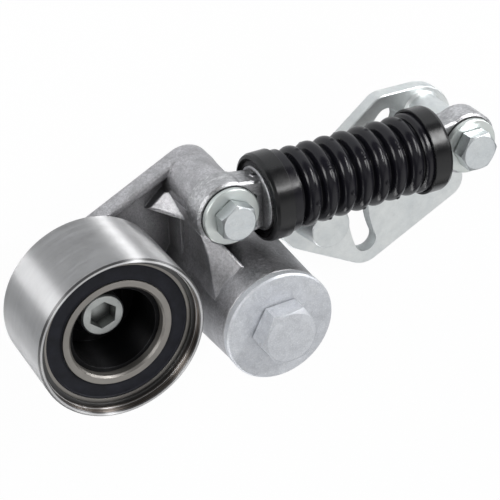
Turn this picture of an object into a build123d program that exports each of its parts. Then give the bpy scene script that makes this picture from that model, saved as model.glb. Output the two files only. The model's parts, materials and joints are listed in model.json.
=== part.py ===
from build123d import *
import os
from math import cos, degrees, hypot, pi, radians, sin, sqrt

os.makedirs("parts", exist_ok=True)

# Fits shared by every pair of pieces
press_gap = 0.02
running_gap = 0.05
free_gap = 0.3

# How far a cutting tool runs past the surface it starts from
overcut = 1.0

# Layout seen along the pivot axis, which is Z; the strut lies along X
pulley_x = -77.0
pulley_y = 18.0
lug_x = -12.0
lug_y = 52.0
strut_length = 130.0
eye_x = lug_x + strut_length
eye_y = lug_y
strut_z = 41.5

# Two sealed ball bearings in the pulley
bearing_outer_radius = 37.5
ring_section = 15.0
bearing_bore_radius = bearing_outer_radius - ring_section
bearing_width = 16.0
outer_face_width = 3.4
inner_face_width = 3.8
ball_radius = 4.3
shoulder_share = 0.465
ball_count = 13
raceway_gap = 0.05
ring_chamfer = 0.9
seal_thickness = 1.1
seal_inset = 0.5
ball_circle = bearing_bore_radius + ring_section / 2
outer_land_radius = bearing_outer_radius - outer_face_width
inner_land_radius = bearing_bore_radius + inner_face_width
outer_shoulder = ball_circle + ball_radius * shoulder_share
inner_shoulder = ball_circle - ball_radius * shoulder_share
seal_seat_depth = seal_inset + seal_thickness + free_gap

# Pulley shell
shell_wall = 2.5
pulley_radius = bearing_outer_radius + shell_wall
pulley_width = 43.8
pulley_front = 69.0
pulley_back = pulley_front - pulley_width
rim_chamfer = 0.8
bearing_recess = (pulley_width - 2 * bearing_width) / 2
bearing_front = pulley_front - bearing_recess
bearing_back = bearing_front - 2 * bearing_width
circlip_width = 1.6
circlip_thickness = 1.6
circlip_reach = 2.9

# Hub cup and its socket screw
cup_wall = 2.2
cup_floor_thickness = 5.5
cup_shoulder = 4.0
cup_shoulder_radius = inner_land_radius - free_gap
screw_radius = 7.0
screw_head_radius = 10.5
screw_head_height = 14.0
screw_socket_across = 12.0
screw_socket_depth = 7.0
hub_top = bearing_back - cup_shoulder
cup_floor = hub_top + cup_floor_thickness

# Shape of every hexagon head and bolt end
head_bevel_share = 0.06
head_face_share = 0.95
head_bevel_slope = 2.0
head_seat_share = 0.06
bolt_point_share = 0.15

# Pivot group
pivot_bolt_radius = 9.0
pivot_head_across = 26.4
pivot_head_height = 10.5
pivot_washer_radius = 27.6
pivot_washer_thickness = 4.1
pivot_washer_front = 72.3
sleeve_radius = 17.0
sleeve_top = pivot_washer_front - pivot_washer_thickness
spigot_radius = 14.0
spigot_depth = 24.0
bolt_tip = 1.0
pivot_washer_bevel = 0.9
bush_wall = 2.5
bush_length = 22.0
thrust_thickness = 1.4
thrust_recess = 1.0
thrust_outer_radius = 24.0

# Arm casting
arm_back = 0.6
boss_front_radius = 27.2
boss_back_radius = 30.2
boss_top = sleeve_top - free_gap - thrust_thickness + thrust_recess
lug_back_radius = 14.0
lug_front_radius = 12.8
lug_top = 34.0
hub_back_radius = 16.2
hub_front_radius = 19.0
web_thickness = 4.6
wall_height = 9.4
hub_wall = 3.0
lug_wall = 5.2
boss_wall = 4.0
rim_round = 1.4
floor_round = 2.0
spine_round = 1.6
level_slope = 0.1
upright_slope = 0.95
spine_top = 55.0
spine_slope = 1.0

# Strut ends
eye_radius = 15.8
eye_width = 13.6
eye_bore_radius = 14.2
inner_sleeve_radius = 9.0
inner_sleeve_length = 15.0
strut_bolt_radius = 6.0
strut_head_across = 18.0
lug_head_across = 16.6
strut_head_height = 7.5
strut_washer_radius = 14.0
strut_washer_thickness = 2.5
neck_half_width = 12.4
flange_radius = 15.4
flange_start = 16.9
flange_thickness = 1.5
spigot_end_radius = 9.8
spigot_end_length = 5.0

# Spring cups, coil spring and gaiter
spring_cup_radius = 21.2
spring_cup_sheet = 1.2
spring_cup_length = 10.2
spring_wire_radius = 1.9
spring_mean_radius = 12.4
spring_turns = 8
end_coil_angle = 90.0
gaiter_crest_radius = 19.5
gaiter_valley_radius = 15.9
gaiter_wall = 1.3
gaiter_pitch = 9.3
gaiter_crests = 7
gaiter_shift = 2.0

# Guide rod and tube inside the spring
rod_radius = 6.0
rod_end = 63.5
tube_outer_radius = 9.5
tube_inner_radius = 8.0
tube_mouth = 46.0
guide_bush_length = 13.7
stop_ring_radius = tube_inner_radius - running_gap
stop_ring_thickness = 2.5

# Bracket plate and its pillars
plate_thickness = 7.0
slot_half_width = 6.2
slot_centre_right = 26.0
slot_centre_down = 42.0
slot_centre_x = eye_x + slot_centre_right
slot_centre_y = eye_y - slot_centre_down
slot_arc_radius = 63.5
slot_low_angle = 202.0
slot_high_angle = 137.5
upper_pillar_radius = 10.0
pillar_foot_radius = 8.0
low_pillar_left = 63.0
low_pillar_down = 40.7
low_pillar_x = eye_x - low_pillar_left
low_pillar_y = eye_y - low_pillar_down
low_pillar_top_radius = 10.7
low_pillar_base_radius = 12.8
low_pillar_height = 17.0
low_pillar_hole_radius = 4.25
low_pillar_hole_depth = 16.0

# Places along the arm
pivot_head_angle = 61.6
lug_head_angle = 35.0
eye_head_angle = 60.2
rear_boss_relief = 1.4
lug_bolt_tip = 9.0
screw_tip = 5.0
thread_relief = 2.0
spine_angle = 133.0
spine_flat = 27.0
spine_tail_drop = 10.0
spine_corners = [(-24.8, 13.3), (-22.2, 30.0), (-22.4, 38.0), (-25.2, 49.0),
                 (-12.0, 52.0), (-11.0, 38.0), (-14.0, 34.5), (-9.6, 27.4), (-6.0, 16.0)]
eye_sweep_gap = 0.8
gusset_tip = (-35.8, 41.6, 9.0)
gusset_lug = (-27.1, 49.6, 10.5)
gusset_spine = (-22.2, 38.3, 24.0)
cross_web_top = 19.4
cross_web_radius = 24.0
cross_web_lug_radius = 11.8
floor_rib_angle = 105.0
floor_rib_thickness = 4.0
floor_rib_centre = (-52.0, 24.0)

# Pulley recesses
back_lip_height = 2.5
back_lip_radius = bearing_outer_radius - back_lip_height
front_lip_relief = 0.35
groove_depth = 1.0
circlip_gap = 9.0
circlip_gap_angle = 125.0

# Bearing details
cage_share = 0.3
cage_rim = 0.6
cage_play = 0.15
cage_half_width = ball_radius * cage_share
cage_half_height = ball_radius + cage_rim
seal_lip = 0.9
seal_step = 0.35
cup_top_inset = 4.0
cup_step = 1.6
cup_seat_radius = 15.4
screw_socket_angle = 20.0
screw_head_bevel = 0.8

# Gaiter and strut details
gaiter_bead_radius = 20.0
gaiter_tuck = 5.0
fold_fullness = 1.25
eye_edge_round = 1.1
neck_root = 4.0
neck_root_half_width = 14.7
cup_corner = 2.2
cup_corner_cut = 0.65
cup_lip_radius = 18.9
cup_dish = 1.5
rod_start = 15.2
stop_chamfer = 0.5
dimple_along = 13.0
dimple_across = 5.0
dimple_radius = 1.6
washer_bevel = 0.4

# Bracket details
plate_bolt_tip = 6.0
plate_left_radius = 20.5
plate_low_radius = 13.4
plate_right_out = 16.5
plate_right_down = 45.5
plate_right_radius = 10.0
plate_top_left = 3.5
plate_top_down = 7.0
plate_top_radius = 21.2
plate_corner_left = 1.2
plate_corner_up = 3.6
plate_corner_radius = 10.0
plate_edge_bevel = 0.5
pillar_root = 1.2


def bar(radius, low, high, x=0.0, y=0.0):
    cylinder = Cylinder(radius, high - low, align=(Align.CENTER, Align.CENTER, Align.MIN))
    return Pos(x, y, low) * cylinder


def tube(outer, inner, low, high, x=0.0, y=0.0):
    return bar(outer, low, high, x, y) - bar(inner, low - overcut, high + overcut, x, y)


def taper(low_radius, high_radius, low, high, x=0.0, y=0.0):
    cone = Cone(low_radius, high_radius, high - low, align=(Align.CENTER, Align.CENTER, Align.MIN))
    return Pos(x, y, low) * cone


def turned(points, x=0.0, y=0.0):
    outline = make_face(Polyline(*points, close=True))
    return Pos(x, y, 0) * revolve(Plane.XZ * outline, Axis.Z)


def turned_on_strut(points):
    outline = make_face(Polyline(*points, close=True))
    return Pos(lug_x, lug_y, strut_z) * revolve(outline, Axis.X)


def hull_prism(circles, low, high):
    shapes = [Pos(x, y) * Circle(r) for x, y, r in circles]
    face = make_hull(Sketch(children=shapes).edges())
    return extrude(Pos(0, 0, low) * face, high - low)


def mirrored_end(shape):
    return mirror(shape, Plane(origin=(lug_x + strut_length / 2, 0, 0), z_dir=(1, 0, 0)))


def hexagon_head(across, height, low, x, y, turn):
    # A bevelled hexagon on a thin round seat
    seat = height * head_seat_share
    prism = Pos(0, 0, seat) * extrude(RegularPolygon(across / sqrt(3), 6), height - seat)
    prism += bar(across / 2 * head_face_share, 0, seat + overcut)
    bevel = across * head_bevel_share
    dome = Cone(across / 2 + (height - bevel) * head_bevel_slope, across / 2 * head_face_share, height,
                align=(Align.CENTER, Align.CENTER, Align.MIN))
    return Pos(x, y, low) * Rotation(0, 0, turn) * (prism & dome)


def headed_bolt(radius, tip, across, height, low, x, y, turn):
    shank = bar(radius, tip, low + height / 2, x, y)
    shank = chamfer(shank.edges().group_by(Axis.Z)[0], radius * bolt_point_share)
    return shank + hexagon_head(across, height, low, x, y, turn)


def save(shape, name):
    export_step(shape, "parts/" + name + ".step")


# Pivot group that is clamped to the engine
sleeve = tube(sleeve_radius, pivot_bolt_radius + free_gap, 0, sleeve_top)
sleeve -= bar(spigot_radius, -overcut, spigot_depth)
save(sleeve, "pivot_sleeve")

washer = tube(pivot_washer_radius, pivot_bolt_radius + free_gap, sleeve_top, pivot_washer_front)
washer = chamfer(washer.edges().group_by(Axis.Z)[-1].sort_by(SortBy.RADIUS)[-1:], pivot_washer_bevel)
save(washer, "pivot_washer")

pivot_bolt = headed_bolt(pivot_bolt_radius, bolt_tip, pivot_head_across, pivot_head_height,
                         pivot_washer_front, 0, 0, pivot_head_angle)
save(pivot_bolt, "pivot_bolt")

# Plain bushes and thrust rings of the pivot, carried by the arm
bush_bore = sleeve_radius + running_gap
bush_outer = bush_bore + bush_wall
thrust_bore = sleeve_radius + free_gap
boss_back = arm_back + rear_boss_relief
front_bush_top = boss_top - thrust_recess
rear_bush_low = boss_back + thrust_recess

save(tube(bush_outer, bush_bore, front_bush_top - bush_length, front_bush_top), "pivot_bush_front")
save(tube(bush_outer, bush_bore, rear_bush_low, rear_bush_low + bush_length), "pivot_bush_rear")
save(tube(thrust_outer_radius, thrust_bore, front_bush_top, front_bush_top + thrust_thickness),
     "thrust_ring_front")
save(tube(thrust_outer_radius, thrust_bore, rear_bush_low - thrust_thickness, rear_bush_low),
     "thrust_ring_rear")

# Arm casting: open pocket with a rim wall, three bosses, spine and gusset
arm_discs = [
    (pulley_x, pulley_y, hub_back_radius),
    (lug_x, lug_y, lug_back_radius),
    (0.0, 0.0, boss_back_radius),
]
pocket_discs = [
    (pulley_x, pulley_y, hub_back_radius - hub_wall),
    (lug_x, lug_y, lug_back_radius - lug_wall),
    (0.0, 0.0, boss_back_radius - boss_wall),
]
wall_top = arm_back + wall_height
pocket_floor = arm_back + web_thickness
arm_block = hull_prism(arm_discs, arm_back, wall_top)
arm = arm_block - hull_prism(pocket_discs, pocket_floor, wall_top + overcut)
arm = fillet(arm.edges().group_by(Axis.Z)[-1], rim_round)
arm = fillet(arm.edges().filter_by_position(Axis.Z, pocket_floor - press_gap, pocket_floor + press_gap),
             floor_round)

arm += taper(boss_back_radius, boss_front_radius, arm_back, boss_top)
arm += taper(lug_back_radius, lug_front_radius, arm_back, lug_top, lug_x, lug_y)
arm += taper(hub_front_radius, hub_back_radius, arm_back, hub_top, pulley_x, pulley_y)

# The spine slopes from the pivot boss down to the lug and clears the swinging eye
spine_drop = spine_top - lug_top + free_gap
spine_end = hypot(lug_x, lug_y) + lug_back_radius
spine_plan = extrude(make_face(Polyline(*spine_corners, close=True)), spine_top)
spine_side = make_face(Polyline(
    (0, arm_back),
    (0, spine_top),
    (spine_flat, spine_top),
    (spine_flat + spine_drop / spine_slope, spine_top - spine_drop),
    (spine_end, spine_top - spine_drop - spine_tail_drop),
    (spine_end, arm_back),
    close=True,
))
spine_wedge = extrude(Plane.XZ * spine_side, boss_back_radius * 2, both=True)
spine = spine_plan & (Rotation(0, 0, spine_angle) * spine_wedge)
spine_edges = [edge for edge in spine.edges()
               if level_slope < abs((edge % 0.5).Z) < upright_slope
               and min((edge @ 0).Z, (edge @ 1).Z) > lug_top]
spine = fillet(spine_edges, spine_round)
spine -= bar(eye_radius + eye_sweep_gap, lug_top - free_gap, spine_top + overcut, lug_x, lug_y)
arm += spine

# Gusset in the corner between lug and spine, under a slanting plane
tip = Vector(*gusset_tip)
across_gusset = Vector(*gusset_lug) - tip
up_gusset = Vector(*gusset_spine) - tip
gusset_normal = across_gusset.cross(up_gusset)
if gusset_normal.Z < 0:
    gusset_normal = -gusset_normal
gusset_corners = [gusset_tip[:2], gusset_lug[:2], (lug_x, lug_y), gusset_spine[:2]]
gusset_plan = make_face(Polyline(*gusset_corners, close=True))
gusset = Pos(0, 0, arm_back) * extrude(gusset_plan, lug_top)
gusset = split(gusset, bisect_by=Plane(origin=tip, z_dir=gusset_normal), keep=Keep.BOTTOM)
gusset_edges = gusset.edges().filter_by(Axis.Z, reverse=True).sort_by_distance(tip)[:2]
gusset = fillet(gusset_edges, spine_round)
arm += gusset & hull_prism(arm_discs, arm_back, lug_top)

# Cross web between lug and pivot boss, and a rib over the pocket floor
arm += hull_prism([(lug_x, lug_y, cross_web_lug_radius), (0, 0, cross_web_radius)], arm_back, cross_web_top)
rib = Box(floor_rib_thickness, hypot(pulley_x, pulley_y), wall_height,
          align=(Align.CENTER, Align.CENTER, Align.MIN))
rib_x, rib_y = floor_rib_centre
arm += arm_block & (Pos(rib_x, rib_y, arm_back) * Rotation(0, 0, floor_rib_angle - 90) * rib)

arm -= bar(bush_outer + press_gap, -overcut, boss_top + overcut)
arm -= bar(boss_back_radius + overcut, -overcut, boss_back)
arm -= bar(thrust_outer_radius + press_gap, front_bush_top, boss_top + overcut)
arm -= bar(thrust_outer_radius + press_gap, -overcut, rear_bush_low)
arm -= bar(strut_bolt_radius + press_gap, lug_bolt_tip - thread_relief, lug_top + overcut, lug_x, lug_y)
arm -= bar(screw_radius + press_gap, screw_tip - thread_relief, hub_top + overcut, pulley_x, pulley_y)
save(arm, "arm_casting")

# Pulley shell with stepped bore, turned round the pulley axis
bore = bearing_outer_radius + press_gap
groove_low = bearing_front
groove_high = groove_low + circlip_width + press_gap
groove_radius = bore + groove_depth
front_bore = bore + front_lip_relief
shell_points = [
    (back_lip_radius, pulley_back),
    (pulley_radius - rim_chamfer, pulley_back),
    (pulley_radius, pulley_back + rim_chamfer),
    (pulley_radius, pulley_front - rim_chamfer),
    (pulley_radius - rim_chamfer, pulley_front),
    (front_bore + rim_chamfer / 2, pulley_front),
    (front_bore, pulley_front - rim_chamfer / 2),
    (front_bore, groove_high + circlip_width / 2),
    (bore, groove_high + circlip_width / 2),
    (bore, groove_high),
    (groove_radius, groove_high),
    (groove_radius, groove_low),
    (bore, groove_low),
    (bore, bearing_back),
    (back_lip_radius, bearing_back),
]
save(turned(shell_points, pulley_x, pulley_y), "pulley_shell")

# Circlip that keeps the bearings in the shell, open at its lugs
circlip_outer = groove_radius - press_gap
circlip = tube(circlip_outer, circlip_outer - circlip_reach, groove_low, groove_low + circlip_width,
               pulley_x, pulley_y)
gap_box = Box(circlip_reach * 3, circlip_gap, circlip_width * 4)
gap_angle = radians(circlip_gap_angle)
gap_x = pulley_x + circlip_outer * cos(gap_angle)
gap_y = pulley_y + circlip_outer * sin(gap_angle)
circlip -= Pos(gap_x, gap_y, groove_low) * Rotation(0, 0, circlip_gap_angle) * gap_box
save(circlip, "bearing_circlip")

# Two identical ball bearings
race_radius = ball_radius + raceway_gap


def ball_ring(middle):
    balls = []
    for step in range(ball_count):
        angle = 2 * pi * step / ball_count
        x = pulley_x + ball_circle * cos(angle)
        y = pulley_y + ball_circle * sin(angle)
        balls.append(Pos(x, y, middle) * Sphere(ball_radius))
    return balls


def race_profile(land, shoulder, far, low, high, middle):
    # Outline of one bearing ring: faces, a seat for each seal, and the raceway between its shoulders
    side = 1 if far > land else -1
    half = sqrt(race_radius ** 2 - (ball_circle - shoulder) ** 2)
    edge = far - side * ring_chamfer
    low_seat = low + seal_seat_depth
    high_seat = high - seal_seat_depth
    line = Polyline(
        (shoulder, middle - half), (shoulder, low_seat), (land, low_seat), (land, low),
        (edge, low), (far, low + ring_chamfer), (far, high - ring_chamfer), (edge, high),
        (land, high), (land, high_seat), (shoulder, high_seat), (shoulder, middle + half),
    )
    arc = ThreePointArc((shoulder, middle + half), (ball_circle + side * race_radius, middle),
                        (shoulder, middle - half))
    return make_face([line, arc])


def bearing(name, low):
    high = low + bearing_width
    middle = (low + high) / 2
    outer = race_profile(outer_land_radius, outer_shoulder, bearing_outer_radius, low, high, middle)
    inner = race_profile(inner_land_radius, inner_shoulder, bearing_bore_radius, low, high, middle)
    for ring, place in ((outer, "bearing_outer_"), (inner, "bearing_inner_")):
        save(Pos(pulley_x, pulley_y, 0) * revolve(Plane.XZ * ring, Axis.Z), place + name)
    balls = ball_ring(middle)
    save(Compound(children=balls), "bearing_balls_" + name)
    cage = tube(ball_circle + cage_half_width, ball_circle - cage_half_width,
                middle - cage_half_height, middle + cage_half_height, pulley_x, pulley_y)
    for step in range(ball_count):
        angle = 2 * pi * step / ball_count
        pocket = bar(ball_radius + cage_play, -cage_half_height * 2, cage_half_height * 2)
        turn = Rotation(0, 0, degrees(angle)) * Pos(ball_circle, 0, middle) * Rotation(0, 90, 0)
        cage -= Pos(pulley_x, pulley_y, 0) * turn * pocket
    save(cage, "bearing_cage_" + name)


bearing("front", bearing_front - bearing_width)
bearing("rear", bearing_back)

# Rubber seals that turn with the outer rings
seal_outer = outer_land_radius - press_gap
seal_inner = inner_land_radius + free_gap
for name, edge, inward in (("front", bearing_front, -1), ("rear", bearing_back, 1)):
    near = edge + inward * seal_inset
    far = near + inward * seal_thickness
    points = [
        (seal_inner, near),
        (seal_inner + seal_lip, near + inward * seal_step),
        (seal_outer - seal_lip, near + inward * seal_step),
        (seal_outer - seal_lip / 2, near),
        (seal_outer, near),
        (seal_outer, far),
        (seal_inner, far),
    ]
    save(turned(points, pulley_x, pulley_y), "bearing_seal_" + name)

# Hub cup that carries the inner rings, and its socket screw
cup_outer = bearing_bore_radius - press_gap
cup_inner = cup_outer - cup_wall
cup_top = bearing_front - cup_top_inset
hub_cup = turned([
    (screw_radius + free_gap, hub_top),
    (cup_shoulder_radius, hub_top),
    (cup_shoulder_radius, bearing_back),
    (cup_outer, bearing_back),
    (cup_outer, cup_top - ring_chamfer / 2),
    (cup_outer - ring_chamfer / 2, cup_top),
    (cup_inner, cup_top),
    (cup_inner, cup_floor + cup_step),
    (cup_seat_radius, cup_floor + cup_step / 2),
    (cup_seat_radius, cup_floor),
    (screw_radius + free_gap, cup_floor),
], pulley_x, pulley_y)
save(hub_cup, "hub_cup")

screw_top = cup_floor + screw_head_height
screw = bar(screw_radius, screw_tip, cup_floor + overcut, pulley_x, pulley_y)
screw = chamfer(screw.edges().group_by(Axis.Z)[0], screw_radius * bolt_point_share)
screw_head = bar(screw_head_radius, cup_floor, screw_top, pulley_x, pulley_y)
screw_head = chamfer(screw_head.edges().group_by(Axis.Z)[-1], screw_head_bevel)
socket = extrude(RegularPolygon(screw_socket_across / sqrt(3), 6), screw_socket_depth + overcut)
socket_place = Pos(pulley_x, pulley_y, screw_top - screw_socket_depth) * Rotation(0, 0, screw_socket_angle)
screw_head -= socket_place * socket
save(screw + screw_head, "hub_screw")

# Strut: eye castings, made once and mirrored to the other end
rod_place = Pos(lug_x, lug_y, strut_z) * Rotation(0, 90, 0)
cup_back = flange_start + flange_thickness
spigot_end = cup_back + spigot_end_length
eye_low = strut_z - eye_width / 2
eye_high = strut_z + eye_width / 2
eye = bar(eye_radius, eye_low, eye_high, lug_x, lug_y)
eye = chamfer(eye.edges(), eye_edge_round)
neck_length = flange_start + flange_thickness / 2
neck_plan = make_face(Polyline(
    (neck_root, -neck_root_half_width), (neck_length, -neck_half_width),
    (neck_length, neck_half_width), (neck_root, neck_root_half_width), close=True))
neck = Pos(lug_x, lug_y, eye_low) * extrude(neck_plan, eye_width)
neck = chamfer(neck.edges().filter_by(Axis.X, tolerance=20), eye_edge_round)
eye += neck
eye += turned_on_strut([
    (flange_start, 0), (flange_start, flange_radius - ring_chamfer),
    (flange_start + ring_chamfer / 2, flange_radius),
    (cup_back, flange_radius),
    (cup_back, spigot_end_radius),
    (spigot_end, spigot_end_radius),
    (spigot_end, 0),
])
eye -= bar(eye_bore_radius + press_gap, eye_low - overcut, eye_high + overcut, lug_x, lug_y)
dimple = Pos(lug_x + dimple_along, lug_y + dimple_across, eye_high) * Sphere(dimple_radius)
eye -= dimple
rod_socket = rod_place * bar(rod_radius + press_gap, rod_start, rod_end)
save(eye - rod_socket, "strut_eye_lower")

save(mirrored_end(eye), "strut_eye_upper")

# Rubber bushes and steel inner sleeves of both eyes
sleeve_low = strut_z - inner_sleeve_length / 2
sleeve_high = strut_z + inner_sleeve_length / 2
rubber_low = sleeve_low + free_gap
rubber_high = sleeve_high - free_gap
bush = tube(eye_bore_radius, inner_sleeve_radius + running_gap, rubber_low, rubber_high, lug_x, lug_y)
save(bush, "eye_bush_lower")
save(mirrored_end(bush), "eye_bush_upper")
inner = tube(inner_sleeve_radius, strut_bolt_radius + free_gap / 2, sleeve_low, sleeve_high, lug_x, lug_y)
save(inner, "eye_sleeve_lower")
save(mirrored_end(inner), "eye_sleeve_upper")

head_low = sleeve_high + strut_washer_thickness
strut_washer = tube(strut_washer_radius, strut_bolt_radius + free_gap / 2, sleeve_high, head_low, lug_x, lug_y)
strut_washer = chamfer(strut_washer.edges().group_by(Axis.Z)[-1].sort_by(SortBy.RADIUS)[-1:], washer_bevel)
save(strut_washer, "strut_washer_lower")
save(mirrored_end(strut_washer), "strut_washer_upper")
save(headed_bolt(strut_bolt_radius, lug_bolt_tip, lug_head_across, strut_head_height,
                 head_low, lug_x, lug_y, lug_head_angle), "strut_bolt_lower")
save(headed_bolt(strut_bolt_radius, plate_bolt_tip, strut_head_across, strut_head_height,
                 head_low, eye_x, eye_y, eye_head_angle), "strut_bolt_upper")

# Spring cups pressed from sheet
cup_hole = spigot_end_radius + press_gap
rim_start = cup_back - cup_dish
cup_end = rim_start + spring_cup_length
inside = spring_cup_radius - spring_cup_sheet
cup_points = [
    (cup_back, cup_hole),
    (cup_back, flange_radius + press_gap),
    (cup_back, cup_lip_radius - cup_dish),
    (rim_start, cup_lip_radius),
    (rim_start, spring_cup_radius - cup_corner),
    (rim_start + cup_corner_cut, spring_cup_radius - cup_corner_cut),
    (rim_start + cup_corner, spring_cup_radius),
    (cup_end, spring_cup_radius),
    (cup_end, inside),
    (cup_back + spring_cup_sheet, inside),
    (cup_back + spring_cup_sheet, cup_hole),
]
spring_cup = turned_on_strut(cup_points)
save(spring_cup, "spring_cup_lower")
save(mirrored_end(spring_cup), "spring_cup_upper")

# Guide rod, stop ring, guide tube and guide bush inside the spring
rod = bar(rod_radius, rod_start, rod_end)
rod = chamfer(rod.edges().group_by(Axis.Z)[-1], stop_chamfer)
save(rod_place * rod, "guide_rod")
ring_low = rod_end - stop_ring_thickness - stop_chamfer * 2
stop_ring = tube(stop_ring_radius, rod_radius + press_gap, ring_low, ring_low + stop_ring_thickness)
save(rod_place * stop_ring, "stop_ring")
guide_tube = tube(tube_outer_radius, tube_inner_radius, tube_mouth, strut_length - spigot_end)
save(rod_place * guide_tube, "guide_tube")
guide_bush = tube(tube_inner_radius - press_gap, rod_radius + running_gap,
                  ring_low - free_gap - guide_bush_length, ring_low - free_gap)
save(rod_place * guide_bush, "guide_bush")

# Coil spring between the cups, with a closed coil at each end
spring_low = cup_back + spring_cup_sheet + spring_wire_radius
spring_high = strut_length - spring_low - free_gap
spring_height = spring_high - spring_low
helix = Helix(spring_height / spring_turns, spring_height, spring_mean_radius)
wire = Plane(origin=helix @ 0, z_dir=helix % 0) * Circle(spring_wire_radius)
coil = sweep(wire, path=helix)
end_coil = Rotation(0, 0, end_coil_angle) * Torus(spring_mean_radius, spring_wire_radius)
coil += end_coil
coil += Pos(0, 0, spring_height) * Rotation(0, 0, 180) * end_coil
save(rod_place * Pos(0, 0, spring_low) * coil, "coil_spring")

# Gaiter: rounded folds between two plain beads that sit in the cups
fold_middle = (gaiter_crest_radius + gaiter_valley_radius) / 2
first_crest = strut_length / 2 + gaiter_shift - gaiter_pitch * (gaiter_crests - 1) / 2
gaiter_start = cup_end - gaiter_tuck
gaiter_end = strut_length - gaiter_start - free_gap


def fold_line(shift):
    # One side of the gaiter wall; shift moves it inward by the wall thickness
    crest = gaiter_crest_radius - shift
    valley = gaiter_valley_radius - shift
    bead = gaiter_bead_radius - shift - free_gap
    middle = fold_middle - shift
    quarter = gaiter_pitch / 4
    wide = quarter * fold_fullness
    points = [(gaiter_start, bead), (first_crest - gaiter_pitch + quarter / 2, bead)]
    pieces = [Line(points[0], points[1])]
    last = (first_crest - gaiter_pitch + wide, middle)
    pieces.append(Line(points[1], last))
    for step in range(gaiter_crests):
        crest_x = first_crest + gaiter_pitch * step
        rise = (crest_x - wide, middle)
        fall = (crest_x + wide, middle)
        pieces.append(ThreePointArc(last, ((last[0] + rise[0]) / 2, valley), rise))
        pieces.append(ThreePointArc(rise, (crest_x, crest), fall))
        last = fall
    next_x = first_crest + gaiter_pitch * gaiter_crests
    rise = (next_x - wide, middle)
    pieces.append(ThreePointArc(last, ((last[0] + rise[0]) / 2, valley), rise))
    top = (next_x - quarter / 2, bead)
    pieces.append(Line(rise, top))
    pieces.append(Line(top, (gaiter_end, bead)))
    return pieces


outer_line = fold_line(0)
inner_line = fold_line(gaiter_wall)
start_cap = Line(outer_line[0] @ 0, inner_line[0] @ 0)
end_cap = Line(outer_line[-1] @ 1, inner_line[-1] @ 1)
gaiter_face = make_face(outer_line + inner_line + [start_cap, end_cap])
save(Pos(lug_x, lug_y, strut_z) * revolve(gaiter_face, Axis.X), "gaiter")

# Bracket plate: a rounded outline round its pillars and the end of its slot
slot_low_x = slot_centre_x + slot_arc_radius * cos(radians(slot_low_angle))
slot_low_y = slot_centre_y + slot_arc_radius * sin(radians(slot_low_angle))
slot_high_x = slot_centre_x + slot_arc_radius * cos(radians(slot_high_angle))
slot_high_y = slot_centre_y + slot_arc_radius * sin(radians(slot_high_angle))
plate_discs = [
    (low_pillar_x, low_pillar_y, plate_left_radius),
    (slot_low_x, slot_low_y, plate_low_radius),
    (eye_x + plate_right_out, eye_y - plate_right_down, plate_right_radius),
    (eye_x - plate_top_left, eye_y - plate_top_down, plate_top_radius),
    (slot_high_x - plate_corner_left, slot_high_y + plate_corner_up, plate_corner_radius),
]
plate = hull_prism(plate_discs, 0, plate_thickness)
plate = chamfer(plate.edges().group_by(Axis.Z)[-1], plate_edge_bevel)
slot_arc = CenterArc((slot_centre_x, slot_centre_y), slot_arc_radius, slot_high_angle,
                     slot_low_angle - slot_high_angle)
slot = SlotArc(slot_arc, slot_half_width * 2)
plate -= Pos(0, 0, -overcut) * extrude(slot, plate_thickness + 2 * overcut)
for x, y in ((low_pillar_x, low_pillar_y), (eye_x, eye_y)):
    plate -= bar(pillar_foot_radius + press_gap, -overcut, plate_thickness + overcut, x, y)
save(plate, "bracket_plate")

upper_pillar = bar(upper_pillar_radius, plate_thickness, sleeve_low, eye_x, eye_y)
upper_pillar += taper(upper_pillar_radius + pillar_root, upper_pillar_radius,
                      plate_thickness, plate_thickness + pillar_root, eye_x, eye_y)
upper_pillar += bar(pillar_foot_radius, free_gap, plate_thickness, eye_x, eye_y)
upper_pillar -= bar(strut_bolt_radius + press_gap, plate_bolt_tip - thread_relief, sleeve_low + overcut,
                    eye_x, eye_y)
save(upper_pillar, "bracket_pillar_upper")

low_pillar_top = plate_thickness + low_pillar_height
low_pillar = taper(low_pillar_base_radius, low_pillar_top_radius, plate_thickness, low_pillar_top,
                   low_pillar_x, low_pillar_y)
low_pillar = chamfer(low_pillar.edges().group_by(Axis.Z)[-1], plate_edge_bevel)
low_pillar += bar(pillar_foot_radius, free_gap, plate_thickness, low_pillar_x, low_pillar_y)
low_pillar -= bar(low_pillar_hole_radius, 0, low_pillar_hole_depth, low_pillar_x, low_pillar_y)
save(low_pillar, "bracket_pillar_lower")
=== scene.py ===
import json
import math

import bpy
from mathutils import Matrix, Vector


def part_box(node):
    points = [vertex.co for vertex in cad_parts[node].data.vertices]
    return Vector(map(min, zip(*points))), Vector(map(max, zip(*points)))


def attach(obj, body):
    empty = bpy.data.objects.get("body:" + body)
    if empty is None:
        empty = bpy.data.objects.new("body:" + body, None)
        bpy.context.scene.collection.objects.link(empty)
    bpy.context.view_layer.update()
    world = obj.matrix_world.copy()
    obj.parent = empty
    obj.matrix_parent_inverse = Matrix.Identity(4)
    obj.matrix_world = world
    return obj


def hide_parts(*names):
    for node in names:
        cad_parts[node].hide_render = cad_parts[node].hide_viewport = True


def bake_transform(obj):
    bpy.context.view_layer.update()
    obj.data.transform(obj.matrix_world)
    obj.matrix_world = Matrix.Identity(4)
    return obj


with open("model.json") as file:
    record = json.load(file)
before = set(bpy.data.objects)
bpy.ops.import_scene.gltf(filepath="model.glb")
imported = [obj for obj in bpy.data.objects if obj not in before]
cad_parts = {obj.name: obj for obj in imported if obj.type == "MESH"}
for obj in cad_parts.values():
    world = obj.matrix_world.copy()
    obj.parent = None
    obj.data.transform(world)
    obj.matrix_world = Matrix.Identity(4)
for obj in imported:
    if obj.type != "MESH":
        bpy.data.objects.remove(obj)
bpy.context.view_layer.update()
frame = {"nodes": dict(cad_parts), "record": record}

# Places in metres, read from the frame
joint_places = {row["name"]: row.get("pos_m") for row in frame["record"]["behaviour"]["joints"]}
PIVOT = joint_places["arm_swing"][:2]
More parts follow.
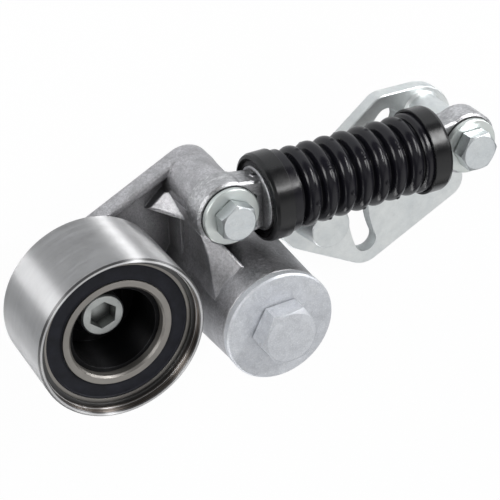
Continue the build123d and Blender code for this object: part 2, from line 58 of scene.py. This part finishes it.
PULLEY = joint_places["pulley_spin"][:2]
LUG = joint_places["strut_swing"][:2]
STRUT_LENGTH = joint_places["bracket_swing"][0] - LUG[0]
cup_low, cup_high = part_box("spring_cup_lower")
STRUT_Z = (cup_low.z + cup_high.z) / 2


class Nodes:
    """A node tree and short ways to add, set and join its nodes."""

    def __init__(self, tree):
        self.tree = tree
        self.tree.nodes.clear()

    def add(self, kind, **values):
        node = self.tree.nodes.new(kind)
        for key, value in values.items():
            setattr(node, key, value)
        return node

    def join(self, source, target):
        self.tree.links.new(source, target)

    def feed(self, socket, value):
        if isinstance(value, bpy.types.NodeSocket):
            self.join(value, socket)
        else:
            socket.default_value = value

    def maths(self, operation, a, b=0.0):
        node = self.add("ShaderNodeMath", operation=operation)
        self.feed(node.inputs[0], a)
        self.feed(node.inputs[1], b)
        return node.outputs[0]

    def span(self, value, low, high, to_low=0.0, to_high=1.0, **settings):
        """Value carried from low..high to to_low..to_high, and held at both ends."""
        node = self.add("ShaderNodeMapRange", **settings)
        for socket, given in zip(node.inputs, (value, low, high, to_low, to_high)):
            self.feed(socket, given)
        return node.outputs[0]

    def dot(self, a, b):
        node = self.add("ShaderNodeVectorMath", operation="DOT_PRODUCT")
        self.feed(node.inputs[0], a)
        self.feed(node.inputs[1], b)
        return node.outputs["Value"]

    def mix_shaders(self, share, a, b):
        node = self.add("ShaderNodeMixShader")
        for socket, source in zip(node.inputs, (share, a, b)):
            self.join(source, socket)
        return node.outputs[0]


class Graph(Nodes):
    """A material: one principled shader, coloured and roughened by procedural nodes."""

    def __init__(self, name):
        self.material = bpy.data.materials.new(name)
        self.material.use_nodes = True
        super().__init__(self.material.node_tree)
        self.bsdf = self.add("ShaderNodeBsdfPrincipled")
        self.join(self.bsdf.outputs["BSDF"], self.add("ShaderNodeOutputMaterial").inputs["Surface"])
        self.place = self.add("ShaderNodeTexCoord").outputs["Object"]

    def noise(self, place, scale, detail, rough, warp=0.0):
        node = self.add("ShaderNodeTexNoise")
        self.join(place, node.inputs["Vector"])
        node.inputs["Scale"].default_value = scale
        node.inputs["Detail"].default_value = detail
        node.inputs["Roughness"].default_value = rough
        node.inputs["Distortion"].default_value = warp
        return node.outputs["Fac"]

    def cells(self, place, scale):
        node = self.add("ShaderNodeTexVoronoi", feature="F1")
        self.join(place, node.inputs["Vector"])
        node.inputs["Scale"].default_value = scale
        return node.outputs["Distance"]

    def stretch(self, scale, turn=(0.0, 0.0, 0.0)):
        """Places scaled unevenly, so that a noise on them runs in streaks."""
        node = self.add("ShaderNodeMapping")
        self.join(self.place, node.inputs["Vector"])
        node.inputs["Rotation"].default_value = turn
        node.inputs["Scale"].default_value = scale
        return node.outputs["Vector"]

    def mix(self, share, a, b):
        node = self.add("ShaderNodeMix", data_type="RGBA")
        self.feed(node.inputs["Factor"], share)
        colour_sockets = node.inputs[6:8]
        for socket, value in zip(colour_sockets, (a, b)):
            self.feed(socket, (*value, 1.0) if isinstance(value, tuple) else value)
        return node.outputs[2]

    def weighted(self, a, share_a, b, share_b):
        """Two values added in the given shares."""
        return self.maths("ADD", self.maths("MULTIPLY", a, share_a), self.maths("MULTIPLY", b, share_b))

    def turned_place(self, axis, centre):
        """Places on which a noise runs in rings round the axis, and the radius from it."""
        turn_drift = 0.0015
        split = self.add("ShaderNodeSeparateXYZ")
        self.join(self.place, split.inputs[0])
        x, y, z = split.outputs
        first, second, along = {"Z": (x, y, z), "X": (y, z, x)}[axis]
        a = self.maths("SUBTRACT", first, centre[0])
        b = self.maths("SUBTRACT", second, centre[1])
        square_sum = self.maths("ADD", self.maths("MULTIPLY", a, a), self.maths("MULTIPLY", b, b))
        radius = self.maths("SQRT", square_sum)
        turn = self.maths("ARCTAN2", b, a)
        rings = self.add("ShaderNodeCombineXYZ")
        for socket, source in zip(rings.inputs, (radius, along, self.maths("MULTIPLY", turn, turn_drift))):
            self.join(source, socket)
        return rings.outputs[0], radius

    def edges(self, radius):
        """1 on convex and concave edges within radius, 0 on flat ground, and the rounded normal."""
        flat_match = 0.999
        edge_match = 0.90
        bevel = self.add("ShaderNodeBevel", samples=6)
        bevel.inputs["Radius"].default_value = radius
        match = self.dot(bevel.outputs[0], self.add("ShaderNodeNewGeometry").outputs["Normal"])
        return self.span(match, flat_match, edge_match), bevel.outputs[0]

    def painted_hollow_shade(self, reach, share):
        """Up to share in closed-in hollows of the piece's own shape: a painted shade mask."""
        open_ground = 0.82
        closed_in = 0.45
        node = self.add("ShaderNodeAmbientOcclusion", samples=8, only_local=True)
        node.inputs["Distance"].default_value = reach
        return self.span(node.outputs["AO"], open_ground, closed_in, to_high=share)

    def bump(self, height, strength, distance, normal):
        node = self.add("ShaderNodeBump")
        self.join(height, node.inputs["Height"])
        self.join(normal, node.inputs["Normal"])
        node.inputs["Strength"].default_value = strength
        node.inputs["Distance"].default_value = distance
        return node.outputs[0]

    def finish(self, colour, rough, normal, metallic=0.0):
        self.join(colour, self.bsdf.inputs["Base Color"])
        self.join(rough, self.bsdf.inputs["Roughness"])
        self.join(normal, self.bsdf.inputs["Normal"])
        self.bsdf.inputs["Metallic"].default_value = metallic
        return self.material


def tint(colour, gain):
    """The colour made lighter or darker, with no channel past white."""
    return tuple(min(1.0, channel * gain) for channel in colour)


def cast_metal(name, colour, rough, round_edge, scuffed=0.0):
    """Blasted casting or forging: fine grain, flow mottling, edges lighter as rubbed wear and painted
    highlight, painted shade in hollows.
    """
    g = Graph(name)
    flow_place = g.stretch(scale=(1.0, 0.35, 1.0), turn=(0.0, 0.0, 0.6))
    flow = g.noise(flow_place, scale=90, detail=4, rough=0.6, warp=0.6)
    spots = g.noise(g.place, scale=420, detail=3, rough=0.6)
    grain = g.noise(g.place, scale=850, detail=3, rough=0.78)
    pits = g.cells(g.place, scale=900)
    edge, round_normal = g.edges(round_edge)
    base = g.mix(g.span(flow, 0.32, 0.68), tint(colour, 0.74), tint(colour, 1.2))
    base = g.mix(g.span(spots, 0.60, 0.75, to_high=0.45), base, tint(colour, 0.55))
    base = g.mix(g.span(grain, 0.38, 0.62, to_low=0.55, to_high=0.0), base, tint(colour, 0.45))
    if scuffed:
        scuff_place = g.stretch(scale=(0.3, 1.3, 1.3), turn=(0.0, 0.0, 0.5))
        scuffs = g.noise(scuff_place, scale=520, detail=4, rough=0.75, warp=0.5)
        base = g.mix(g.span(scuffs, 0.52, 0.64, to_high=scuffed), base, tint(colour, 1.9))
        base = g.mix(g.span(scuffs, 0.48, 0.36, to_high=scuffed), base, tint(colour, 0.4))
    # Edges lighter: rubbed wear and painted highlight
    base = g.mix(g.maths("MULTIPLY", edge, 0.35), base, tint(colour, 1.5))
    # Painted shade: closed-in hollows, such as the arm's pocket, darkened to a fifth of the colour
    base = g.mix(g.painted_hollow_shade(reach=0.026, share=0.9), base, tint(colour, 0.2))
    grain_rough = g.span(grain, 0.3, 0.7, to_low=rough - 0.08, to_high=rough + 0.10)
    rough_now = g.maths("ADD", grain_rough, g.maths("MULTIPLY", edge, -0.06))
    height = g.weighted(grain, 0.7, g.span(pits, 0.0, 0.5), 0.3)
    normal = g.bump(height, strength=0.6, distance=0.0004, normal=round_normal)
    return g.finish(base, rough_now, normal, metallic=1.0)


def bore_with_painted_rim_light(g, base, rings_place, radius, colour, line, bore):
    """A dark bore with fine lighter rings, then the rim: flat faces lighter as painted highlight, the rim's
    bevels darker as painted shade.
    """
    bore_radius, bore_colour = bore
    bore_fade = 0.0003
    bevel_level = 0.707
    lines = g.noise(rings_place, scale=line * 0.25, detail=1, rough=0.4)
    bore_tone = g.mix(g.span(lines, 0.42, 0.6), bore_colour, tint(bore_colour, 2.2))
    base = g.mix(g.span(radius, bore_radius, bore_radius - bore_fade), base, bore_tone)
    facing = g.add("ShaderNodeSeparateXYZ")
    g.join(g.add("ShaderNodeNewGeometry").outputs["Normal"], facing.inputs[0])
    level = g.maths("ABSOLUTE", facing.outputs[2])
    # Painted highlight: faces square to the axis made half again lighter
    base = g.mix(g.span(level, 0.90, 0.97), base, tint(colour, 1.5))
    # Painted shade: a dark line on the rim's bevels, halfway between flat and side
    off_bevel = g.maths("ABSOLUTE", g.maths("SUBTRACT", level, bevel_level))
    return g.mix(g.span(off_bevel, 0.22, 0.12), base, tint(colour, 0.4))


def turned_metal(name, colour, rough, axis, centre, line=5200, depth=0.35, stain=0.48,
                 round_edge=0.0004, bore=None, across=0.85, edge_gain=1.35, ring_share=0.3):
    """Lathe-turned metal: fine rings round its axis, faint stains, edges tinted as painted edge light,
    perhaps a dark bore with painted light on the rim.
    """
    quarter_turn = 0.25
    g = Graph(name)
    rings_place, radius = g.turned_place(axis, centre)
    rings = g.noise(rings_place, scale=line, detail=2, rough=0.7)
    wide_rings = g.noise(rings_place, scale=line * 0.12, detail=2, rough=0.5)
    stains = g.noise(g.place, scale=130, detail=4, rough=0.65, warp=0.4)
    marks = g.noise(g.place, scale=700, detail=3, rough=0.6)
    edge, round_normal = g.edges(round_edge)
    base = g.mix(g.span(stains, 0.35, 0.7, to_high=stain), colour, tint(colour, 0.8))
    base = g.mix(g.span(rings, 0.35, 0.65, to_high=ring_share), base, tint(colour, 1.12))
    # Painted edge light: edges lighter where edge_gain is above 1
    base = g.mix(g.maths("MULTIPLY", edge, 0.5), base, tint(colour, edge_gain))
    if bore:
        base = bore_with_painted_rim_light(g, base, rings_place, radius, colour, line, bore)
    ring_rough = g.span(wide_rings, 0.3, 0.7, to_low=rough - 0.05, to_high=rough + 0.07)
    rough_now = g.maths("ADD", ring_rough, g.span(marks, 0.55, 0.8, to_high=0.04))
    around = g.add("ShaderNodeTangent", direction_type="RADIAL", axis=axis)
    g.join(around.outputs[0], g.bsdf.inputs["Tangent"])
    g.bsdf.inputs["Anisotropic"].default_value = across
    g.bsdf.inputs["Anisotropic Rotation"].default_value = quarter_turn
    normal = g.bump(rings, strength=depth, distance=0.00006, normal=round_normal)
    return g.finish(base, rough_now, normal, metallic=1.0)


def plated_metal(name, colour, rough, blush, round_edge=0.0005, spot=0.25, metallic=1.0,
                 edge_gain=1.3, hollow_shade=0.0, dent=0.18, mottle=0.0):
    """Plated or zinc-coated steel: soft cloudy sheen, tiny dents, edges tinted as painted edge light,
    perhaps painted shade in hollows.
    """
    g = Graph(name)
    cloud = g.noise(g.place, scale=75, detail=4, rough=0.6, warp=0.8)
    fine = g.noise(g.place, scale=1500, detail=3, rough=0.6)
    dents = g.noise(g.place, scale=330, detail=2, rough=0.5)
    edge, round_normal = g.edges(round_edge)
    base = g.mix(g.span(cloud, 0.3, 0.72), colour, blush)
    if mottle:
        patches = g.noise(g.place, scale=260, detail=4, rough=0.7)
        base = g.mix(g.span(patches, 0.40, 0.66, to_high=mottle), base, tint(colour, 0.55))
        base = g.mix(g.span(fine, 0.50, 0.68, to_high=mottle), base, tint(colour, 1.45))
    base = g.mix(g.span(dents, 0.64, 0.78, to_high=spot), base, tint(colour, 0.6))
    # Painted edge light: edges lighter where edge_gain is above 1, darker where it is below 1
    base = g.mix(g.maths("MULTIPLY", edge, 0.5), base, tint(colour, edge_gain))
    # Painted shade: closed-in hollows, such as a screw's socket, made darker
    if hollow_shade:
        base = g.mix(g.painted_hollow_shade(reach=0.006, share=hollow_shade), base, tint(colour, 0.15))
    sheen = g.weighted(fine, 0.5, cloud, 0.5)
    rough_now = g.span(sheen, 0.35, 0.65, to_low=rough - 0.07, to_high=rough + 0.07)
    height = g.weighted(fine, 0.35, dents, 0.45)
    normal = g.bump(height, strength=dent, distance=0.00015, normal=round_normal)
    return g.finish(base, rough_now, normal, metallic)


def black_gloss(name, colour, rough, wave, dust, gloss):
    """Glossy black enamel or moulded rubber with faint waves, dust and rubbed spots."""
    dust_colour = (0.12, 0.12, 0.13)
    edge_highlight_colour = (0.06, 0.06, 0.066)
    round_edge = 0.0006
    g = Graph(name)
    waves = g.noise(g.place, scale=wave, detail=2, rough=0.5)
    dusting = g.noise(g.place, scale=700, detail=4, rough=0.7)
    rubs = g.noise(g.stretch(scale=(0.4, 1.0, 1.0)), scale=260, detail=4, rough=0.7)
    edge, round_normal = g.edges(round_edge)
    base = g.mix(g.span(dusting, 0.5, 0.85, to_high=dust), colour, dust_colour)
    # Painted highlight: edges a little lighter
    base = g.mix(g.maths("MULTIPLY", edge, 0.12), base, edge_highlight_colour)
    g.bsdf.inputs["Specular IOR Level"].default_value = gloss
    wave_rough = g.span(waves, 0.3, 0.7, to_low=rough - 0.03, to_high=rough + 0.05)
    rough_now = g.maths("ADD", wave_rough, g.span(rubs, 0.6, 0.8, to_high=0.14))
    height = g.weighted(waves, 0.9, dusting, 0.1)
    return g.finish(base, rough_now, g.bump(height, strength=0.05, distance=0.0005, normal=round_normal))


def matte_rubber(name, colour, rough, gloss=0.4):
    """Matt rubber or moulded polymer with a fine grain and faint patches."""
    round_edge = 0.0004
    g = Graph(name)
    grain = g.noise(g.place, scale=3200, detail=3, rough=0.6)
    patches = g.noise(g.place, scale=160, detail=3, rough=0.6)
    _, round_normal = g.edges(round_edge)
    g.bsdf.inputs["Specular IOR Level"].default_value = gloss
    base = g.mix(g.span(patches, 0.3, 0.7), tint(colour, 0.75), tint(colour, 1.5))
    rough_now = g.span(grain, 0.3, 0.7, to_low=rough - 0.08, to_high=rough + 0.08)
    return g.finish(base, rough_now, g.bump(grain, strength=0.3, distance=0.0001, normal=round_normal))


# Every look: the function that makes it and what sets it apart
BORE_RADIUS = 0.0384
BORE_COLOUR = (0.15, 0.133, 0.12)
LOOKS = {
    "cast_aluminium": (cast_metal, dict(colour=(0.62, 0.615, 0.635), rough=0.44, round_edge=0.0012)),
    "forged_eye": (cast_metal, dict(
        colour=(0.58, 0.58, 0.595), rough=0.36, round_edge=0.0006, scuffed=0.35)),
    # Pulley: its bore look also paints highlight on flat faces and shade on the rim's bevels
    "turned_steel": (turned_metal, dict(
        colour=(0.54, 0.54, 0.545), rough=0.41, axis="Z", centre=PULLEY, depth=0.03, round_edge=0.0002,
        bore=(BORE_RADIUS, BORE_COLOUR), across=1.0, ring_share=0.08)),
    "pivot_steel": (turned_metal, dict(colour=(0.55, 0.55, 0.55), rough=0.32, axis="Z", centre=PIVOT)),
    "strut_steel": (turned_metal, dict(
        colour=(0.60, 0.60, 0.60), rough=0.30, axis="X", centre=(LUG[1], STRUT_Z))),
    "ring_steel": (turned_metal, dict(
        colour=(0.32, 0.305, 0.285), rough=0.46, axis="Z", centre=PULLEY, line=6000, depth=0.2,
        round_edge=0.0002, across=0.4, edge_gain=1.0)),
    "ball_steel": (turned_metal, dict(
        colour=(0.7, 0.7, 0.7), rough=0.08, axis="Z", centre=PULLEY, line=3000, depth=0.02, stain=0.08)),
    "cage_polymer": (matte_rubber, dict(colour=(0.25, 0.17, 0.09), rough=0.5)),
    "seal_rubber": (matte_rubber, dict(colour=(0.010, 0.0105, 0.015), rough=0.5, gloss=0.22)),
    "spring_steel": (plated_metal, dict(colour=(0.25, 0.25, 0.26), rough=0.3, blush=(0.2, 0.2, 0.22))),
    "circlip_steel": (plated_metal, dict(colour=(0.10, 0.10, 0.10), rough=0.4, blush=(0.08, 0.08, 0.08))),
    # Painted highlight: edges six times lighter, a bright line on the cup floor's step
    "cup_inner_steel": (turned_metal, dict(
        colour=(0.016, 0.016, 0.017), rough=0.5, axis="Z", centre=PULLEY, line=2500, depth=0.3,
        edge_gain=6.0)),
    "zinc_plate": (plated_metal, dict(
        colour=(0.80, 0.825, 0.82), rough=0.42, blush=(0.70, 0.735, 0.745), round_edge=0.00012,
        spot=0.15, mottle=0.15)),
    "zinc_flake": (plated_metal, dict(
        colour=(0.70, 0.715, 0.745), rough=0.5, blush=(0.61, 0.625, 0.66), round_edge=0.0003,
        spot=0.4, metallic=0.6, edge_gain=1.0, dent=0.6, mottle=0.35)),
    "bright_zinc": (plated_metal, dict(
        colour=(0.72, 0.75, 0.76), rough=0.34, blush=(0.64, 0.68, 0.70), round_edge=0.0001,
        spot=0.2, dent=0.05, mottle=0.2)),
    "washer_zinc": (plated_metal, dict(
        colour=(0.76, 0.795, 0.77), rough=0.42, blush=(0.68, 0.72, 0.705), round_edge=0.0002,
        spot=0.2, edge_gain=0.7)),
    # The screw's socket is darkened as painted shade
    "screw_coat": (plated_metal, dict(
        colour=(0.60, 0.62, 0.61), rough=0.45, blush=(0.48, 0.50, 0.49), spot=0.5, hollow_shade=0.9)),
    "black_enamel": (black_gloss, dict(
        colour=(0.006, 0.006, 0.0065), rough=0.22, wave=260, dust=0.02, gloss=0.42)),
    "gaiter_rubber": (black_gloss, dict(
        colour=(0.006, 0.0055, 0.0085), rough=0.22, wave=300, dust=0.025, gloss=0.36)),
    "bush_rubber": (matte_rubber, dict(colour=(0.018, 0.018, 0.019), rough=0.55)),
    "bush_bronze": (turned_metal, dict(colour=(0.55, 0.40, 0.20), rough=0.35, axis="Z", centre=PIVOT)),
    "thrust_polymer": (matte_rubber, dict(colour=(0.05, 0.045, 0.04), rough=0.45)),
}
materials = {name: make(name, **values) for name, (make, values) in LOOKS.items()}

# Nodes whose look is finer than their material slot, by how their names start
LOOK_BY_START = {
    "pivot_sleeve": "pivot_steel",
    "guide_rod": "strut_steel",
    "guide_tube": "strut_steel",
    "strut_bolt": "bright_zinc",
    "strut_washer": "washer_zinc",
    "strut_eye": "forged_eye",
}


def dress_nodes():
    """Gives every CAD node its material."""
    slots = {row["node"]: row["material_slot"] for row in frame["record"]["subparts"]}
    for name, obj in frame["nodes"].items():
        finer = [look for start, look in LOOK_BY_START.items() if name.startswith(start)]
        look = finer[0] if finer else slots[name]
        obj.data.materials.clear()
        obj.data.materials.append(materials[look])


def add_object(name, data):
    obj = bpy.data.objects.new(name, data)
    bpy.context.scene.collection.objects.link(obj)
    return obj


def add_mesh(name, verts, faces, material, smooth=True):
    mesh = bpy.data.meshes.new(name)
    mesh.from_pydata([tuple(v) for v in verts], [], faces)
    mesh.update()
    for polygon in mesh.polygons:
        polygon.use_smooth = smooth
    mesh.materials.append(material)
    return add_object(name, mesh)


def lathe(name, profile, centre, steps, material, swell=None):
    """Turns a closed line of (place along X, radius) points round an X axis into a mesh."""
    verts = []
    faces = []
    for along, radius in profile:
        for step in range(steps):
            angle = 2 * math.pi * step / steps
            out = radius + (swell(along, angle) if swell else 0.0)
            across = out * math.cos(angle)
            up = out * math.sin(angle)
            verts.append((centre[0] + along, centre[1] + across, centre[2] + up))
    rows = len(profile)
    for row in range(rows):
        here = row * steps
        there = ((row + 1) % rows) * steps
        for step in range(steps):
            after = (step + 1) % steps
            faces.append((here + step, here + after, there + after, there + step))
    return add_mesh(name, verts, faces, material)


# Gaiter: seven rounded folds with narrow valleys between two end beads
gaiter_low, gaiter_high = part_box("gaiter")
GAITER_START = gaiter_low.x - LUG[0]
GAITER_END = gaiter_high.x - LUG[0]
BEAD = (gaiter_high.y - gaiter_low.y) / 2
CREST = 0.0195
VALLEY = 0.0152
WALL = 0.0009
PITCH = 0.0093
CRESTS = 7
SHIFT = 0.002
FIRST_CREST = STRUT_LENGTH / 2 + SHIFT - PITCH * (CRESTS - 1) / 2
FOLD_ROUND = 0.0037
FOLD_HALF = 0.0034
VALLEY_FLAT = 0.0004
START_BEAD_END = 0.0322
END_BEAD_START = 0.0993
END_BEAD_STEP = 0.0012
END_BEAD_DROP = 0.0006
GAITER_ROWS = 260
INNER_SKIP = 4
GAITER_STEPS = 256

# Small moulded pips, four to a crest
PIP_RADIUS = 0.0012
PIP_HEIGHT = 0.00055
PIP_SHIFT = 0.0006
PIP_TURN = math.pi / 2


def fold_radius(along):
    """Round crests down to narrow round valleys, between the two end beads."""
    if along < START_BEAD_END:
        return BEAD
    if along > END_BEAD_START:
        rise = min(1.0, (along - END_BEAD_START) / END_BEAD_STEP)
        return BEAD - END_BEAD_DROP * (1 + math.cos(rise * math.pi)) / 2
    nearest = round((along - FIRST_CREST) / PITCH)
    away = abs(along - FIRST_CREST - nearest * PITCH)
    if nearest < 0 or nearest >= CRESTS:
        away = max(0.0, PITCH / 2 - VALLEY_FLAT)
    if away < FOLD_HALF:
        return CREST - FOLD_ROUND + math.sqrt(FOLD_ROUND ** 2 - away ** 2)
    flank = CREST - FOLD_ROUND + math.sqrt(FOLD_ROUND ** 2 - FOLD_HALF ** 2)
    share = (PITCH / 2 - away) / (PITCH / 2 - FOLD_HALF)
    return VALLEY + (flank - VALLEY) * share ** 2


def pip_height(along, angle):
    """Pips on the crests, turned by half their spacing from one crest to the next."""
    nearest = min(CRESTS - 1, max(0, round((along - FIRST_CREST) / PITCH)))
    turned = angle - (nearest % 2) * PIP_TURN / 2
    off_row = (turned + PIP_TURN / 2) % PIP_TURN - PIP_TURN / 2
    off_crest = along - FIRST_CREST - nearest * PITCH - PIP_SHIFT
    away = math.hypot(off_crest, off_row * CREST) / PIP_RADIUS
    return PIP_HEIGHT * math.sqrt(1 - away ** 2) if away < 1 else 0.0


def make_gaiter():
    row_length = (GAITER_END - GAITER_START) / GAITER_ROWS
    profile = []
    for row in range(GAITER_ROWS + 1):
        along = GAITER_START + row_length * row
        profile.append((along, fold_radius(along)))
    for row in range(0, GAITER_ROWS + 1, INNER_SKIP):
        along = GAITER_END - row_length * row
        profile.append((along, fold_radius(along) - WALL))
    centre = (LUG[0], LUG[1], STRUT_Z)
    gaiter = lathe("gaiter_skin", profile, centre, GAITER_STEPS, materials["gaiter_rubber"], pip_height)
    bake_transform(gaiter)
    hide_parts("gaiter")


# Coil spring: round wire, one closed turn at each end
WIRE = 0.0019
MEAN = 0.0124
TURNS = 8
CLOSED_RISE = 2 * WIRE * 1.02
SPRING_LOW = 0.0215
SPRING_HIGH = 0.1081
OPEN_RISE = (SPRING_HIGH - SPRING_LOW - 2 * CLOSED_RISE) / TURNS
WIRE_SEGMENTS = 400
WIRE_SIDES = 14


def make_spring():
    verts = []
    faces = []
    for segment in range(WIRE_SEGMENTS + 1):
        coils = (TURNS + 2) * segment / WIRE_SEGMENTS
        turn = 2 * math.pi * coils
        closed_coils = min(coils, 1.0) + max(0.0, coils - TURNS - 1)
        open_coils = max(0.0, min(coils, TURNS + 1) - 1.0)
        rise = closed_coils * CLOSED_RISE + open_coils * OPEN_RISE
        radial = Vector((0, math.cos(turn), math.sin(turn)))
        centre = Vector((LUG[0] + SPRING_LOW + rise, LUG[1], STRUT_Z)) + radial * MEAN
        for side in range(WIRE_SIDES):
            angle = 2 * math.pi * side / WIRE_SIDES
            verts.append(centre + radial * WIRE * math.cos(angle) + Vector((WIRE * math.sin(angle), 0, 0)))
    for segment in range(WIRE_SEGMENTS):
        here = segment * WIRE_SIDES
        there = here + WIRE_SIDES
        for side in range(WIRE_SIDES):
            after = (side + 1) % WIRE_SIDES
            faces.append((here + side, here + after, there + after, there + side))
    last_ring = WIRE_SEGMENTS * WIRE_SIDES
    faces.append(tuple(range(WIRE_SIDES)))
    faces.append(tuple(reversed(range(last_ring, last_ring + WIRE_SIDES))))
    coil = add_mesh("coil_wire", verts, faces, materials["spring_steel"])
    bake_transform(coil)
    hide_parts("coil_spring")


# Small cast pit with a raised lip on the lower eye's neck; its floor is a black disc of painted shade
PIT_PLACE = Vector((0.0046, 0.0646, 0.0418))
PIT_NORMAL = Vector((0.17, 0.985, 0.0)).normalized()
PIT_PROFILE = (
    (-0.0004, 0.0023),
    (0.0001, 0.0021),
    (0.0005, 0.0018),
    (0.0005, 0.0016),
    (0.0001, 0.0013),
    (-0.0004, 0.0012),
)
PIT_STEPS = 48
PIT_SHADE_RADIUS = 0.0014
PIT_SHADE_TOP = 0.00008
PIT_SHADE_BOTTOM = -0.0003
PIT_SHADE_STEPS = 32


def make_pit():
    facing_out = PIT_NORMAL.to_track_quat("X", "Z")
    pit = lathe("neck_pit_lip", PIT_PROFILE, (0.0, 0.0, 0.0), PIT_STEPS, materials["forged_eye"])
    pit.data.transform(Matrix.Translation(PIT_PLACE) @ facing_out.to_matrix().to_4x4())
    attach(pit, "strut_lower")
    verts = []
    for depth in (PIT_SHADE_TOP, PIT_SHADE_BOTTOM):
        for step in range(PIT_SHADE_STEPS):
            angle = 2 * math.pi * step / PIT_SHADE_STEPS
            across = Vector((0, math.cos(angle), math.sin(angle))) * PIT_SHADE_RADIUS
            verts.append(PIT_PLACE + facing_out @ (Vector((depth, 0, 0)) + across))
    steps = range(PIT_SHADE_STEPS)
    faces = [tuple(steps), tuple(PIT_SHADE_STEPS + step for step in reversed(steps))]
    for step in steps:
        after = (step + 1) % PIT_SHADE_STEPS
        faces.append((step, PIT_SHADE_STEPS + step, PIT_SHADE_STEPS + after, after))
    # Black disc in the pit: painted shade
    pit_shade = add_mesh("neck_pit_painted_shade", verts, faces, materials["bush_rubber"], smooth=False)
    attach(pit_shade, "strut_lower")


# Camera at the photograph's viewing angle
RIGHT = Vector((0.88485, -0.03778, 0.46435))
UP = Vector((0.27106, 0.85240, -0.44717))
BACK = Vector((-0.37893, 0.52154, 0.76447))
EYE = Vector((-0.2967, 0.4350, 0.6422))
SENSOR_WIDTH = 36.0
FOCAL_PIXELS = 1671.0
PHOTO_PIXELS = 500.0


def set_camera():
    data = bpy.data.cameras.new("camera")
    data.sensor_width = SENSOR_WIDTH
    data.lens = SENSOR_WIDTH * FOCAL_PIXELS / PHOTO_PIXELS
    data.clip_start = 0.02
    data.clip_end = 50.0
    camera = add_object("camera", data)
    placed = Matrix((RIGHT, UP, BACK)).transposed().to_4x4()
    placed.translation = EYE
    camera.matrix_world = placed
    bpy.context.scene.camera = camera


# Floor: pale, white to the camera, and it keeps the object's shadow
FLOOR_HALF = 4
FLOOR_DROP = 0.0002
FLOOR_COLOUR = (0.86, 0.86, 0.86, 1)
WHITE_TO_CAMERA = 0.97
WHITE_TO_GLOSSY = 0.12


def lay_floor():
    paint = bpy.data.materials.new("floor_paint")
    paint.use_nodes = True
    n = Nodes(paint.node_tree)
    pale = n.add("ShaderNodeBsdfDiffuse")
    pale.inputs["Color"].default_value = FLOOR_COLOUR
    glow = n.add("ShaderNodeEmission")
    rays = n.add("ShaderNodeLightPath")
    to_camera = n.maths("MULTIPLY", rays.outputs["Is Camera Ray"], WHITE_TO_CAMERA)
    to_glossy = n.maths("MULTIPLY", rays.outputs["Is Glossy Ray"], WHITE_TO_GLOSSY)
    share = n.maths("MAXIMUM", to_camera, to_glossy)
    both = n.mix_shaders(share, pale.outputs[0], glow.outputs[0])
    n.join(both, n.add("ShaderNodeOutputMaterial").inputs["Surface"])
    corners = [(-FLOOR_HALF, -FLOOR_HALF), (FLOOR_HALF, -FLOOR_HALF), (FLOOR_HALF, FLOOR_HALF),
               (-FLOOR_HALF, FLOOR_HALF)]
    floor = add_mesh("floor", [(x, y, 0) for x, y in corners], [(0, 1, 2, 3)], paint, smooth=False)
    floor.location = (0, 0, -FLOOR_DROP)


# World: pale to the camera, a grey dome with a bright panel in reflections, a soft fill elsewhere
FILL_COLOUR = (0.9, 0.95, 1.0)
FILL_STRENGTH = 0.42
PALE = (0.8, 0.8, 0.8)
PANEL_DIRECTION = (0.379, -0.522, 0.764)
PANEL_EDGE = 0.66
PANEL_HEART = 0.95
DOME_STRENGTH = 0.13
PANEL_STRENGTH = 1.05


def light_world():
    world = bpy.data.worlds.new("studio")
    bpy.context.scene.world = world
    world.use_nodes = True
    n = Nodes(world.node_tree)

    def background(colour, strength):
        node = n.add("ShaderNodeBackground")
        node.inputs["Color"].default_value = (*colour, 1)
        n.feed(node.inputs["Strength"], strength)
        return node.outputs[0]

    direction = n.add("ShaderNodeTexCoord").outputs["Generated"]
    toward_panel = n.dot(direction, PANEL_DIRECTION)
    dome_strength = n.span(toward_panel, PANEL_EDGE, PANEL_HEART, DOME_STRENGTH, PANEL_STRENGTH,
                           interpolation_type="SMOOTHSTEP")
    rays = n.add("ShaderNodeLightPath")
    mirrored = n.maths("MAXIMUM", rays.outputs["Is Glossy Ray"], rays.outputs["Is Transmission Ray"])
    unseen = n.mix_shaders(mirrored, background(FILL_COLOUR, FILL_STRENGTH), background(PALE, dome_strength))
    seen = n.mix_shaders(rays.outputs["Is Camera Ray"], unseen, background(PALE, 1.0))
    n.join(seen, n.add("ShaderNodeOutputWorld").inputs["Surface"])


# Soft boxes round the object, one metre from its middle
LAMP_MIDDLE = Vector((0.03, 0.02, 0.035))
LAMP_DISTANCE = 1.0


def soft_box(name, azimuth, height, wide, tall, power):
    """Azimuth from +X and height above the floor in degrees, sizes in metres, power in watts."""
    a = math.radians(azimuth)
    h = math.radians(height)
    toward = Vector((math.cos(a) * math.cos(h), math.sin(a) * math.cos(h), math.sin(h)))
    data = bpy.data.lights.new(name, "AREA")
    data.shape = "RECTANGLE"
    data.size = wide
    data.size_y = tall
    data.energy = power
    lamp = add_object(name, data)
    lamp.location = LAMP_MIDDLE + toward * LAMP_DISTANCE
    lamp.rotation_mode = "QUATERNION"
    lamp.rotation_quaternion = (-toward).to_track_quat("-Z", "Y")


dress_nodes()
make_gaiter()
make_spring()
make_pit()
set_camera()
lay_floor()
light_world()
soft_box("key", azimuth=52, height=33, wide=0.13, tall=0.62, power=5.0)
soft_box("right", azimuth=20, height=24, wide=0.30, tall=0.40, power=2.4)
soft_box("left", azimuth=154, height=18, wide=0.40, tall=0.35, power=3.8)
soft_box("side", azimuth=240, height=4, wide=1.20, tall=0.14, power=2.8)
soft_box("middle", azimuth=208, height=16, wide=0.50, tall=0.30, power=1.1)
soft_box("front", azimuth=120, height=62, wide=0.80, tall=0.80, power=0.7)

bpy.context.scene.view_settings.view_transform = "Standard"
